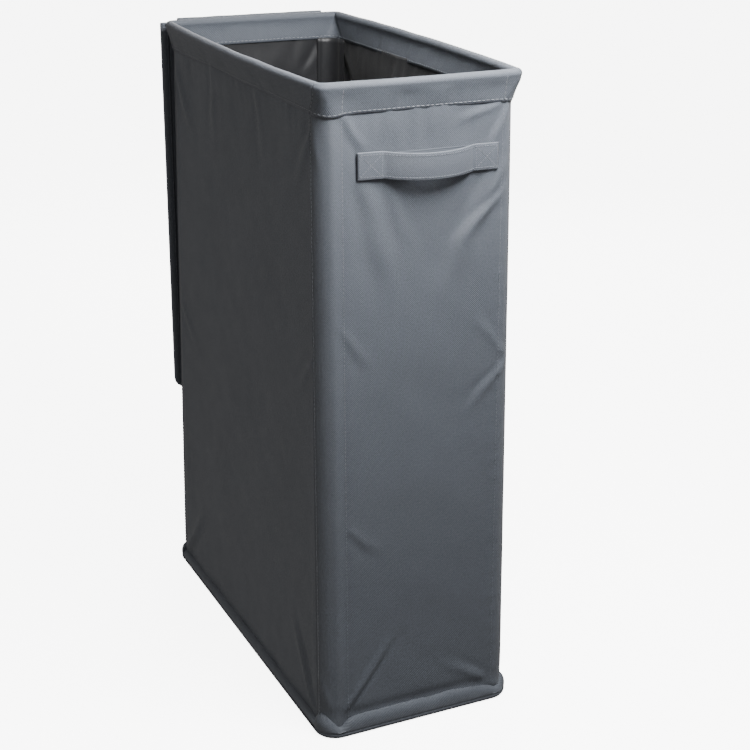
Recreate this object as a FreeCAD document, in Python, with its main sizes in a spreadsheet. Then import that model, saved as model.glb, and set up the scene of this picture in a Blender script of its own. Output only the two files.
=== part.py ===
"""Slim upright laundry hamper: a fabric bag on two wire frames, with a lid folded back behind it.

Frame: +Z up, +X across the narrow side, -Y towards the front handle, millimetres.
Origin: the middle of the base, on the surface that the hamper stands on.

The four wall panels stand on a fabric roll that holds the base wire, and their top edges are folded over
the rim wire as hems. An arched stay in an inner sleeve props up each corner. A stiff base board lies on the
floor panel and flips up for folding. The lid hangs from a hinge tape on the back hem.
"""
import FreeCAD, Part
import math
import os

import Sketcher

Vector, Rotation = FreeCAD.Vector, FreeCAD.Rotation
X_AXIS, Y_AXIS, Z_AXIS = Vector(1, 0, 0), Vector(0, 1, 0), Vector(0, 0, 1)

SIZES = {
    "base_width": 190.0,            # over the base roll, across
    "base_length": 400.0,           # over the base roll, front to back
    "hamper_height": 575.0,         # floor to the top of the rim
    "rim_width": 184.0,             # over the hem at the corners, across
    "rim_length": 369.0,            # over the hem at the corners, front to back
    "rim_side_bow": 6.0,            # how far the long rim sides bulge at their middle
    "rim_end_bow": 2.0,             # the same on the short rim sides
    "rim_bend": 5.0,                # bend radius of the rim wire's centre line
    "hem_height": 25.0,
    "hem_thickness": 3.0,
    "hem_setback": 4.0,             # wall face behind the rim's outer line
    "wall_thickness": 1.5,
    "wall_corner": 16.0,            # outer corner radius of the walls
    "base_flare": 4.0,              # wall face behind the base roll's outer line
    "base_corner": 16.0,            # outer corner radius of the base roll
    "roll_radius": 4.5,
    "casing_wall": 1.0,             # fabric round the rim wire
    "neck_length": 0.5,             # pinched hem under the casing
    "wire_radius": 2.0,
    "wire_gap": 1.0,                # between the two ends of a wire, inside its ferrule
    "ferrule_radius": 3.0,
    "ferrule_length": 30.0,
    "ferrule_clearance": 0.15,
    "channel_clearance": 0.15,
    "floor_thickness": 1.5,
    "stay_thickness": 2.0,
    "stay_reach": 2.0,              # how far a stay runs on past the corner's arc, each way
    "stay_end_gap": 3.0,
    "sleeve_fabric": 0.8,
    "sleeve_reach": 6.0,            # how far a sleeve runs on past the corner's arc, each way
    "sleeve_clearance": 0.2,
    "handle_length": 127.0,
    "handle_height": 22.0,
    "handle_thickness": 2.0,
    "handle_patch": 23.0,           # stitched flat length at each end
    "handle_bow": 10.0,             # how far the strap stands off the wall
    "handle_offset": 6.5,           # off the face's middle line
    "handle_drop": 79.0,            # strap's lower edge below the top of the rim
    "board_core_thickness": 3.0,
    "board_cover_thickness": 1.0,
    "board_floor_gap": 0.5,
    "board_side_clearance": 1.4,    # raised board to the sleeves beside it
    "board_end_reach": 3.0,         # board ends past the corner arcs' centres
    "board_corner": 8.0,
    "board_tab_length": 30.0,
    "board_tab_width": 20.0,
    "board_tab_thickness": 1.0,
    "lid_width": 182.0,             # over the binding
    "lid_front_overhang": 1.0,      # closed lid past the rim's front
    "lid_board_thickness": 2.5,
    "lid_cover_thickness": 0.8,
    "lid_corner": 12.0,
    "lid_hinge_gap": 7.0,           # hinge line to the lid's edge
    "lid_rest_gap": 0.3,            # closed lid above the rim
    "lid_handle_gap": 0.6,          # hanging lid behind the handle strap
    "lid_wall_gap": 2.0,            # hanging lid behind the wall at its foot, at least
    "binding_width": 8.0,
    "binding_thickness": 0.6,
    "lid_tab_length": 26.0,
    "lid_tab_width": 24.0,
    "lid_tab_thickness": 2.0,
    "tape_length": 150.0,
    "tape_height": 17.0,
    "tape_thickness": 1.0,
    "tape_gap": 0.1,                # hinge tape behind the rim's outer line
}


class Size:
    """A length as a spreadsheet expression, which adds, subtracts, multiplies and divides like a number."""

    def __init__(self, text):
        self.text = str(text)

    def __str__(self):
        return self.text

    def __add__(self, other):
        return Size(f"({self} + {other})")

    def __sub__(self, other):
        return Size(f"({self} - {other})")

    def __mul__(self, other):
        return Size(f"({self} * {other})")

    def __truediv__(self, other):
        return Size(f"({self} / {other})")

    def __neg__(self):
        return Size(f"(0 - {self})")

    def at_least(self, other):
        """This length or the other one, whichever is larger."""
        return Size(f"max({self}; {other})")

    def root(self):
        """The square root of this, an area."""
        return Size(f"sqrt({self})")

    @property
    def value(self):
        """The length in millimetres."""
        result = sheet.evalExpression(self.text)
        return float(getattr(result, "Value", result))


def size(alias):
    """The named driving size."""
    return Size(f"sizes.{alias}")


ZERO = Size(0)

# --------------------------------------------------------------------------------------- drawing helpers


def bind(feature, **lengths):
    """Tie a feature's properties to the sheet."""
    for name, length in lengths.items():
        feature.setExpression(name, str(length))


def place(feature, x=ZERO, y=ZERO, z=ZERO):
    """Tie a feature's position to the sheet."""
    for axis, length in zip("xyz", (x, y, z)):
        feature.setExpression(f"Placement.Base.{axis}", str(length))


def hold(sketch, kind, *target, length):
    """Add a driving constraint to a sketch and tie it to the sheet of sizes."""
    row = sketch.addConstraint(Sketcher.Constraint(kind, *target, length.value))
    sketch.setExpression(f"Constraints[{row}]", str(length))


def pin(sketch, edge, end, x, y):
    """Hold one point of a sketch at x, y from the sketch's origin."""
    hold(sketch, "DistanceX", -1, 1, edge, end, length=x)
    hold(sketch, "DistanceY", -1, 1, edge, end, length=y)


def rounded_ring(name, half_x, half_y, corner, level, bow_x=None, bow_y=None):
    """A closed rounded rectangle round the Z axis; its sides are straight, or bulge by bow_x and bow_y.

    Its first edge is the front side, and the edges run anticlockwise seen from above.
    """
    sketch = doc.addObject("Sketcher::SketchObject", name)
    centre_x, centre_y = half_x - corner, half_y - corner
    sides = [(centre_y, centre_x, bow_y), (centre_x, centre_y, bow_x)] * 2
    radii, turns, edges = [], [], []
    for reach, run, bow in sides:
        depth = (run * run - bow * bow) / (bow * 2) if bow else None
        radii.append(depth + corner + bow if bow else None)
        turns.append(math.atan2(run.value, depth.value) if bow else 0.0)
    for number, (reach, run, bow) in enumerate(sides):
        facing = (number - 1) * math.pi / 2
        out = Vector(math.cos(facing), math.sin(facing), 0)
        along = Vector(-out.y, out.x, 0) * run.value
        if bow:
            middle = out * (reach + corner + bow - radii[number]).value
            side = Part.Circle(middle, Z_AXIS, radii[number].value)
            edges.append(Part.ArcOfCircle(side, facing - turns[number], facing + turns[number]))
        else:
            middle = out * (reach + corner).value
            edges.append(Part.LineSegment(middle - along, middle + along))
        bend = Part.Circle(out * reach.value + along, Z_AXIS, corner.value)
        bend_end = facing + math.pi / 2 - turns[(number + 1) % 4]
        edges.append(Part.ArcOfCircle(bend, facing + turns[number], bend_end))
    sketch.addGeometry(edges, False)
    for edge in range(8):
        sketch.addConstraint(Sketcher.Constraint("Tangent", edge, 2, (edge + 1) % 8, 1))
    quadrants = [(centre_x, -centre_y), (centre_x, centre_y), (-centre_x, centre_y), (-centre_x, -centre_y)]
    for number, (x, y) in enumerate(quadrants):
        pin(sketch, 2 * number + 1, 3, x, y)
        hold(sketch, "Radius", 2 * number + 1, length=corner)
        if radii[number]:
            hold(sketch, "Radius", 2 * number, length=radii[number])
    place(sketch, z=level)
    return sketch


def outline(sketch, corners, bows=None):
    """Draw a closed outline through the corners; bows gives edges that are arcs and how far they bulge.

    A bulge is to the right of the edge's direction, so outwards on an anticlockwise outline.
    """
    bows = bows or {}
    points = [Vector(x.value, y.value, 0) for x, y in corners]
    count = len(points)
    for number, start in enumerate(points):
        stop = points[(number + 1) % count]
        if number in bows:
            across = (stop - start).cross(Z_AXIS).normalize() * bows[number].value
            edge = Part.Arc(start, (start + stop) * 0.5 + across, stop)
        else:
            edge = Part.LineSegment(start, stop)
        sketch.addGeometry(edge, False)
    for number, (x, y) in enumerate(corners):
        bowed = number in bows
        start_end = start_of(sketch, number, points[number]) if bowed else 1
        pin(sketch, number, start_end, x, y)
        after = (number - 1) % count
        other_end = 3 - start_of(sketch, after, points[after]) if after in bows else 2
        sketch.addConstraint(Sketcher.Constraint("Coincident", after, other_end, number, start_end))
    for number, bow in bows.items():
        (x0, y0), (x1, y1) = corners[number], corners[(number + 1) % count]
        chord_squared = (x1 - x0) * (x1 - x0) + (y1 - y0) * (y1 - y0)
        rise = bow if bow.value > 0 else -bow
        hold(sketch, "Radius", number, length=(chord_squared / 4 + rise * rise) / (rise * 2))


def start_of(sketch, edge, point):
    """Which end of an arc, 1 or 2, lies at the point: arcs are kept anticlockwise."""
    return 1 if (sketch.getPoint(edge, 1) - point).Length < (sketch.getPoint(edge, 2) - point).Length else 2


def loft(name, *rings):
    """A solid between rings at different levels."""
    feature = doc.addObject("Part::Loft", name)
    feature.Sections = list(rings)
    feature.Solid = True
    feature.Ruled = True
    return feature


def sweep(name, profile, path):
    """A solid whose profile follows a closed ring all the way round."""
    feature = doc.addObject("Part::Sweep", name)
    feature.Sections = [profile]
    feature.Spine = (path, [f"Edge{number}" for number in range(1, 9)])
    feature.Solid = True
    return feature


def ring_rod(name, radius, path, front, level):
    """A round rod along a ring whose front side crosses the middle plane at y = -front."""
    profile = doc.addObject("Part::Circle", f"{name}_profile")
    bind(profile, Radius=radius)
    profile.Placement = FreeCAD.Placement(Vector(), Rotation(Y_AXIS, 90))
    place(profile, y=-front, z=level)
    return sweep(name, profile, path)


def ring_keyhole(name, radius, half_neck, depth, path, front, level):
    """The same rod with a neck under it, which ends at a flat face at depth below the ring."""
    shoulder = (radius * radius - half_neck * half_neck).root()
    profile = doc.addObject("Sketcher::SketchObject", f"{name}_profile")
    corners = [(-half_neck, -depth), (half_neck, -depth), (half_neck, -shoulder), (-half_neck, -shoulder)]
    outline(profile, corners, {2: radius + shoulder})
    profile.Placement = FreeCAD.Placement(Vector(), Rotation(-Y_AXIS, Z_AXIS, -X_AXIS, "XYZ"))
    place(profile, y=-front, z=level)
    return sweep(name, profile, path)


def boolean(kind, name, base, tool):
    """A Part::Cut, Part::Common or Part::Fuse of two features."""
    feature = doc.addObject(f"Part::{kind}", name)
    feature.Base = base
    feature.Tool = tool
    return feature


def box(name, low, high):
    """A block between two corners, each given as x, y, z."""
    feature = doc.addObject("Part::Box", name)
    bind(feature, Length=high[0] - low[0], Width=high[1] - low[1], Height=high[2] - low[2])
    place(feature, *low)
    return feature


def standing_wedge(name, low, high, foot, top, turn=0):
    """A block with slanted sides between two levels.

    foot and top are (x low, x high, forward low, forward high), where forward is -Y, before the block is
    turned by turn degrees about the Z axis.
    """
    feature = doc.addObject("Part::Wedge", name)
    bind(feature, Ymin=low, Xmin=foot[0], Xmax=foot[1], Zmin=foot[2], Zmax=foot[3])
    bind(feature, Ymax=high, X2min=top[0], X2max=top[1], Z2min=top[2], Z2max=top[3])
    feature.Placement = FreeCAD.Placement(Vector(), Rotation(Z_AXIS, turn) * Rotation(X_AXIS, 90))
    return feature


def upright_rectangle(name, half_width, low, high, corner=None):
    """A rectangle facing the front, whose lower corners are rounded if a radius is given."""
    sketch = doc.addObject("Sketcher::SketchObject", name)
    if corner is None:
        outline(sketch, [(-half_width, low), (half_width, low), (half_width, high), (-half_width, high)])
    else:
        arc_bow = corner * (1 - math.sqrt(0.5))
        corners = [(corner - half_width, low), (half_width - corner, low), (half_width, low + corner),
                   (half_width, high), (-half_width, high), (-half_width, low + corner)]
        outline(sketch, corners, {1: arc_bow, 5: arc_bow})
    sketch.Placement = FreeCAD.Placement(Vector(), Rotation(X_AXIS, 90))
    return sketch


def extrude(name, sketch, length):
    """A solid of the given thickness along the sketch's normal."""
    feature = doc.addObject("Part::Extrusion", name)
    feature.Base = sketch
    feature.DirMode = "Normal"
    feature.Solid = True
    bind(feature, LengthFwd=length)
    return feature


def padded_body(name, draw, thickness):
    """A PartDesign body with one sketch on its own XY plane, padded upwards."""
    body = doc.addObject("PartDesign::Body", name)
    plane = next(item for item in body.Origin.OriginFeatures if item.Role == "XY_Plane")
    sketch = body.newObject("Sketcher::SketchObject", f"{name}_outline")
    sketch.AttachmentSupport = [(plane, "")]
    sketch.MapMode = "FlatFace"
    draw(sketch)
    pad = body.newObject("PartDesign::Pad", f"{name}_pad")
    pad.Profile = sketch
    bind(pad, Length=thickness)
    return body


# ------------------------------------------------------------------------------------------- the document

doc = FreeCAD.newDocument("laundry_hamper")
sheet = doc.addObject("Spreadsheet::Sheet", "sizes")
for row_number, (alias_name, number_held) in enumerate(SIZES.items(), start=1):
    sheet.set(f"A{row_number}", alias_name)
    sheet.set(f"B{row_number}", str(number_held))
    sheet.setAlias(f"B{row_number}", alias_name)
doc.recompute()

height = size("hamper_height")
fabric = size("wall_thickness")
corner_radius = size("wall_corner")
beyond = size("base_length")                    # further out than any piece reaches
wall_foot = size("roll_radius") * 2
wall_top = height - size("hem_height")
foot_half_x = size("base_width") / 2 - size("base_flare")
foot_half_y = size("base_length") / 2 - size("base_flare")
top_half_x = size("rim_width") / 2 - size("hem_setback")
top_half_y = size("rim_length") / 2 - size("hem_setback")


def at_level(foot, top, level):
    """A size that changes evenly from the walls' foot to their top, at the given level."""
    return foot + (top - foot) * (level - wall_foot) / (wall_top - wall_foot)


def wall_skin(name, inset):
    """The solid inside a surface that lies inset behind the walls' outer faces."""
    corner = corner_radius - inset
    foot = rounded_ring(f"{name}_foot", foot_half_x - inset, foot_half_y - inset, corner, wall_foot)
    top = rounded_ring(f"{name}_top", top_half_x - inset, top_half_y - inset, corner, wall_top)
    return loft(name, foot, top)


def four_sides(name, tube, low, high, seam_low, seam_high):
    """Cut a tube into its front and back, with their corners, and its left and right sides."""
    end_low, end_high = (-beyond, beyond, seam_low, beyond), (-beyond, beyond, seam_high, beyond)
    side_low, side_high = (-beyond, ZERO, -seam_low, seam_low), (-beyond, ZERO, -seam_high, seam_high)
    zones = {"front": (end_low, end_high, 0), "back": (end_low, end_high, 180),
             "left": (side_low, side_high, 0), "right": (side_low, side_high, 180)}
    pieces = {}
    for side, (foot, top, turn) in zones.items():
        zone = standing_wedge(f"{side}_{name}_zone", low, high, foot, top, turn)
        pieces[side] = boolean("Common", f"{side}_{name}", tube, zone)
    return list(pieces.values())


def make_walls():
    """Four wall panels between the base roll and the hems."""
    tube = boolean("Cut", "wall_tube", outer_skin, inner_skin)
    seam_foot, seam_top = foot_half_y - corner_radius, top_half_y - corner_radius
    return four_sides("wall", tube, wall_foot, wall_top, seam_foot, seam_top)


def make_corners():
    """In each corner an arched stay, and the sleeve that holds it against the wall."""
    gap, stay = size("sleeve_clearance"), size("stay_thickness")
    pocket_skin = wall_skin("pocket_skin", fabric + gap * 2 + stay)
    stay_outer = wall_skin("stay_outer", fabric + gap)
    stay_inner = wall_skin("stay_inner", fabric + gap + stay)
    sleeve_tube = boolean("Cut", "sleeve_tube", inner_skin, sleeve_face)
    pocket_tube = boolean("Cut", "pocket_tube", inner_skin, pocket_skin)
    stay_tube = boolean("Cut", "stay_tube", stay_outer, stay_inner)
    end_gap = size("stay_end_gap")
    middle = box("stay_levels", (-beyond, -beyond, wall_foot + end_gap), (beyond, beyond, wall_top - end_gap))
    stay_run = boolean("Common", "stay_run", stay_tube, middle)

    def corner_zone(name, across, turn, reach):
        """The space of one corner, from reach short of its arc; across is 1 on the right, -1 on the left."""
        bounds = []
        for half_x, half_y in ((foot_half_x, foot_half_y), (top_half_x, top_half_y)):
            near_x, near_y = half_x - corner_radius - reach, half_y - corner_radius - reach
            span = (near_x, beyond) if across > 0 else (-beyond, -near_x)
            bounds.append((*span, near_y, beyond))
        return standing_wedge(name, wall_foot, wall_top, *bounds, turn)

    pieces = []
    corners = {"front_left": (-1, 0), "front_right": (1, 0), "back_right": (-1, 180), "back_left": (1, 180)}
    for corner, (across, turn) in corners.items():
        strip_zone = corner_zone(f"{corner}_strip_zone", across, turn, size("sleeve_reach"))
        pocket_zone = corner_zone(f"{corner}_pocket_zone", across, turn, size("stay_reach") + gap)
        stay_zone = corner_zone(f"{corner}_stay_zone", across, turn, size("stay_reach"))
        strip = boolean("Common", f"{corner}_strip", sleeve_tube, strip_zone)
        pocket = boolean("Common", f"{corner}_pocket", pocket_tube, pocket_zone)
        pieces.append(boolean("Cut", f"{corner}_sleeve", strip, pocket))
        pieces.append(boolean("Common", f"{corner}_stay", stay_run, stay_zone))
    return pieces


def make_framed_edge(name, path, reach, level):
    """A wire along a ring, closed by a ferrule at the back, and the channel in the fabric round them.

    reach is how far behind the middle the ring crosses it. Returns the wire, the ferrule and the channel.
    """
    half_gap, half_ferrule = size("wire_gap") / 2, size("ferrule_length") / 2
    ring = ring_rod(f"{name}_wire_ring", size("wire_radius"), path, reach, level)
    spread = size("ferrule_radius")
    gap = box(f"{name}_wire_gap", (-half_gap, reach - spread, level - spread),
              (half_gap, reach + spread, level + spread))
    wire = boolean("Cut", f"{name}_wire", ring, gap)
    sleeves = []
    for part, radius in (("outer", spread), ("bore", size("wire_radius") + size("ferrule_clearance"))):
        cylinder = doc.addObject("Part::Cylinder", f"{name}_ferrule_{part}")
        bind(cylinder, Radius=radius, Height=size("ferrule_length"))
        cylinder.Placement = FreeCAD.Placement(Vector(), Rotation(Y_AXIS, 90))
        place(cylinder, -half_ferrule, reach, level)
        sleeves.append(cylinder)
    ferrule = boolean("Cut", f"{name}_ferrule", *sleeves)
    channel = ring_rod(f"{name}_channel", spread + size("channel_clearance"), path, reach, level)
    return wire, ferrule, channel


def make_rim():
    """The hems: bands that rise from the walls to a bowed casing round the rim wire."""
    casing_radius = size("ferrule_radius") + size("channel_clearance") + size("casing_wall")
    half_x, half_y = size("rim_width") / 2 - casing_radius, size("rim_length") / 2 - casing_radius
    bend, bow_x, bow_y = size("rim_bend"), size("rim_side_bow"), size("rim_end_bow")
    level, reach = height - casing_radius, half_y + bow_y
    path = rounded_ring("rim_path", half_x, half_y, bend, level, bow_x, bow_y)
    wire, ferrule, channel = make_framed_edge("rim", path, reach, level)
    half_neck, neck_depth = size("hem_thickness") / 2, casing_radius + size("neck_length")
    casing = ring_keyhole("rim_casing", casing_radius, half_neck, neck_depth, path, reach, level)
    shells = []
    for name, side in (("outer", half_neck), ("inner", -half_neck)):
        inset = fabric / 2 - side
        foot = rounded_ring(f"band_{name}_foot", top_half_x - inset, top_half_y - inset,
                            corner_radius - inset, wall_top)
        head = rounded_ring(f"band_{name}_head", half_x + side, half_y + side, bend + side,
                            level - neck_depth, bow_x, bow_y)
        shells.append(loft(f"band_{name}", foot, head))
    band = boolean("Cut", "hem_band", *shells)
    folded = boolean("Fuse", "hem_folded", band, casing)
    tube = boolean("Cut", "hem_tube", folded, channel)
    seam = top_half_y - corner_radius
    return [wire, ferrule] + four_sides("hem", tube, wall_top, height, seam, seam)


def make_base():
    """The base roll round its wire, and the floor panel inside it."""
    radius = size("roll_radius")
    half_x, half_y = size("base_width") / 2 - radius, size("base_length") / 2 - radius
    path = rounded_ring("base_path", half_x, half_y, size("base_corner") - radius, radius)
    wire, ferrule, channel = make_framed_edge("base", path, half_y, radius)
    tube = boolean("Cut", "roll_tube", ring_rod("base_casing", radius, path, half_y, radius), channel)
    seam = foot_half_y - corner_radius
    rolls = four_sides("base_roll", tube, ZERO, radius * 2, seam, seam)
    edge = rounded_ring("floor_edge", half_x - radius, half_y - radius, size("base_corner") - radius * 2, ZERO)
    return [wire, ferrule, extrude("floor_panel", edge, size("floor_thickness"))] + rolls


def draw_handle(sketch):
    """A strap seen from above: flat patches at both ends, and a bow that stands off the wall between."""
    half, thick, bow = size("handle_length") / 2, size("handle_thickness"), size("handle_bow")
    patch_end = half - size("handle_patch")
    corners = [(-half, -thick), (-patch_end, -thick), (patch_end, -thick), (half, -thick),
               (half, ZERO), (patch_end, ZERO), (-patch_end, ZERO), (-half, ZERO)]
    outline(sketch, corners, {1: bow, 5: -bow})


def make_handles():
    """The same strap on the front and back walls, leaning with the wall."""
    foot = height - size("handle_drop")
    wall_face = at_level(foot_half_y, top_half_y, foot)
    lean = math.degrees(math.atan2((foot_half_y - top_half_y).value, (wall_top - wall_foot).value))
    offset, pieces = size("handle_offset"), []
    for side, turn, x, y in (("front", 0, offset, -wall_face), ("back", 180, -offset, wall_face)):
        body = padded_body(f"{side}_handle", draw_handle, size("handle_height"))
        body.Placement = FreeCAD.Placement(Vector(), Rotation(Z_AXIS, turn) * Rotation(X_AXIS, -lean))
        place(body, x, y, foot)
        pieces.append(body)
    return pieces


def make_base_board():
    """The loose board: a stiff core between two covers, and the tab that lifts it."""
    cover, core = size("board_cover_thickness"), size("board_core_thickness")
    thickness = core + cover * 2
    raised = size("base_width")                 # no lower than the raised board's top edge
    sleeve_inset = fabric + size("sleeve_clearance") * 2 + size("stay_thickness") + size("sleeve_fabric")
    half_x = (at_level(foot_half_x, top_half_x, raised) - sleeve_inset - thickness / 2
              - size("board_side_clearance"))
    half_y = at_level(foot_half_y, top_half_y, raised) - corner_radius + size("board_end_reach")
    low = size("floor_thickness") + size("board_floor_gap")
    pieces = []
    for name, level, thick in (("base_board_underside", low, cover), ("base_board_core", low + cover, core),
                               ("base_board_cover", low + cover + core, cover)):
        edge = rounded_ring(f"{name}_edge", half_x, half_y, size("board_corner"), level)
        pieces.append(extrude(name, edge, thick))
    top, half_tab = low + thickness, size("board_tab_length") / 2
    tab = box("base_board_tab", (half_x - size("board_tab_width"), -half_tab, top),
              (half_x, half_tab, top + size("board_tab_thickness")))
    return pieces + [tab]


def make_lid():
    """The lid as it hangs behind the back wall, and its hinge tape."""
    cover, core, wrap = size("lid_cover_thickness"), size("lid_board_thickness"), size("binding_thickness")
    stack = core + cover * 2
    strap = (at_level(foot_half_y, top_half_y, height - size("handle_drop")) + size("handle_bow")
             + size("handle_thickness"))
    rim_front = size("rim_length") / 2 + size("rim_end_bow")
    tab_foot = height - strap - rim_front - size("lid_tab_length")
    wall_face = at_level(foot_half_y, top_half_y, tab_foot) + size("lid_wall_gap")
    hinge_y = strap.at_least(wall_face) + size("lid_handle_gap") + wrap + stack / 2
    hinge_z = height + size("lid_rest_gap") + wrap + stack / 2
    half_width = size("lid_width") / 2
    high = hinge_z - size("lid_hinge_gap")
    low = hinge_z - (hinge_y + rim_front + size("lid_front_overhang"))

    def plate(name, inset, face, thickness, rounded=True):
        """A plate whose far face is at y = face, inset from the lid's outline."""
        corner = size("lid_corner") - inset if rounded else None
        edge = upright_rectangle(f"{name}_edge", half_width - inset, low + inset, high - inset, corner)
        place(edge, y=face)
        return extrude(name, edge, thickness)

    far = hinge_y + stack / 2
    pieces = [plate("lid_lining", wrap, far, cover), plate("lid_board", wrap, far - cover, core),
              plate("lid_top_cover", wrap, far - cover - core, cover)]
    block = plate("binding_block", ZERO, far + wrap, stack + wrap * 2)
    window = plate("binding_window", size("binding_width"), far + wrap, stack + wrap * 2)
    filling = plate("binding_filling", wrap, far, stack)
    frame = boolean("Cut", "binding_frame", block, window)
    pieces.append(boolean("Cut", "lid_edge_binding", frame, filling))

    half_tab, half_thick = size("lid_tab_width") / 2, size("lid_tab_thickness") / 2
    pieces.append(box("lid_tab", (-half_tab, hinge_y - half_thick, low - size("lid_tab_length")),
                      (half_tab, hinge_y + half_thick, low)))

    half_tape, tape, tall = size("tape_length") / 2, size("tape_thickness"), size("tape_height")
    near = hinge_y - stack / 2 - wrap
    pieces.append(box("hinge_tape_lid_half", (-half_tape, near - tape, high - tall), (half_tape, near, high)))
    tape_foot = top_half_y + (size("hem_thickness") - fabric) / 2 + size("rim_end_bow")
    tape_head = rim_front + size("tape_gap")
    tape_top = height - size("casing_wall") - size("ferrule_radius") - size("wire_radius")
    pieces.append(standing_wedge("hinge_tape_rim_half", tape_top - tall, tape_top,
                                 (-half_tape, half_tape, tape_foot, tape_foot + tape),
                                 (-half_tape, half_tape, tape_head, tape_head + tape), 180))
    return pieces


outer_skin = wall_skin("outer_skin", ZERO)
inner_skin = wall_skin("inner_skin", fabric)
sleeve_face = wall_skin("sleeve_face", fabric + size("sleeve_clearance") * 2 + size("stay_thickness")
                        + size("sleeve_fabric"))
nodes = make_walls() + make_corners() + make_rim() + make_base() + make_handles()
nodes += make_base_board() + make_lid()
doc.recompute()

for item in doc.Objects:
    if {"Invalid", "Error"} & set(item.State):
        raise RuntimeError(f"{item.Label} failed: {item.State}")
for item in nodes:
    if item.Shape.isNull() or not item.Shape.isValid() or not item.Shape.Solids:
        raise RuntimeError(f"{item.Label} has no valid solid")

os.makedirs("parts", exist_ok=True)
for item in nodes:
    item.Shape.exportStep(f"parts/{item.Label}.step")
    print(f"{item.Label}: {item.Shape.Volume / 1000:.1f} cm3, {len(item.Shape.Solids)} solid(s)")
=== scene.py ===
"""Slim upright laundry hamper: a grey cloth bag on two wire rings, with straps and a folded-back lid.

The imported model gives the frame. Each sub-assembly is a class that sews its own pieces: the wall cloths, the
hems over the rim wire, the base roll, the corner sleeves, the straps, the base board and the lid.
"""

import logging
import math
from collections.abc import Callable, Sequence
from dataclasses import dataclass, field
from enum import Enum

import bpy
from mathutils import Matrix, Vector, noise


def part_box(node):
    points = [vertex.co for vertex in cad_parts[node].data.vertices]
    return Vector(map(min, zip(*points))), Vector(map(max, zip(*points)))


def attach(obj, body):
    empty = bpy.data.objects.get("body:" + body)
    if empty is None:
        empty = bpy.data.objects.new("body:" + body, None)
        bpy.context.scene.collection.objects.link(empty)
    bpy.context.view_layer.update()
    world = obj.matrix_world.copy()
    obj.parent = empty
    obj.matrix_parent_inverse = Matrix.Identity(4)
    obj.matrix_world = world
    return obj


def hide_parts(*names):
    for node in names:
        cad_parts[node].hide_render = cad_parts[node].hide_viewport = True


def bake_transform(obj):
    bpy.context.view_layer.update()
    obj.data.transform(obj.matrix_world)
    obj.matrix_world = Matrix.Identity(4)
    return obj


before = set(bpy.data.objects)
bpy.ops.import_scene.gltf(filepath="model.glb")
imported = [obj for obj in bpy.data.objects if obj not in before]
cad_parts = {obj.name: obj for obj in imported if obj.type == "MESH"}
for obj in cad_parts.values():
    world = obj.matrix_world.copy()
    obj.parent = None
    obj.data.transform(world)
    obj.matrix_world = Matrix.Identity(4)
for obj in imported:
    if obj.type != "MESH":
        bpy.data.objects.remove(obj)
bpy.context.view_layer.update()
log = logging.getLogger("hamper")

MM = 0.001
Object = bpy.types.Object
Material = bpy.types.Material


# ------------------------------------------------------------------------------------------------ shapes


class Side(Enum):
    """The four faces of the bag, each with the turn about Z that brings its pattern there, in degrees."""

    FRONT = ("front", 0)
    BACK = ("back", 180)
    RIGHT = ("right", 0)
    LEFT = ("left", 180)

    @property
    def label(self) -> str:
        """The face's name in the frame's nodes."""
        return self.value[0]

    @property
    def turn(self) -> Matrix:
        """The turn about Z from the front's or the right side's pattern."""
        return Matrix.Rotation(math.radians(self.value[1]), 4, "Z")

    @property
    def is_end(self) -> bool:
        """Whether it is one of the two narrow faces, which carry the corners."""
        return self in (Side.FRONT, Side.BACK)


@dataclass(frozen=True)
class Spot:
    """A place on a cloth: where it is, the way it faces, and how far along the face it lies."""

    place: Vector
    out: Vector
    along: float


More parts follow.
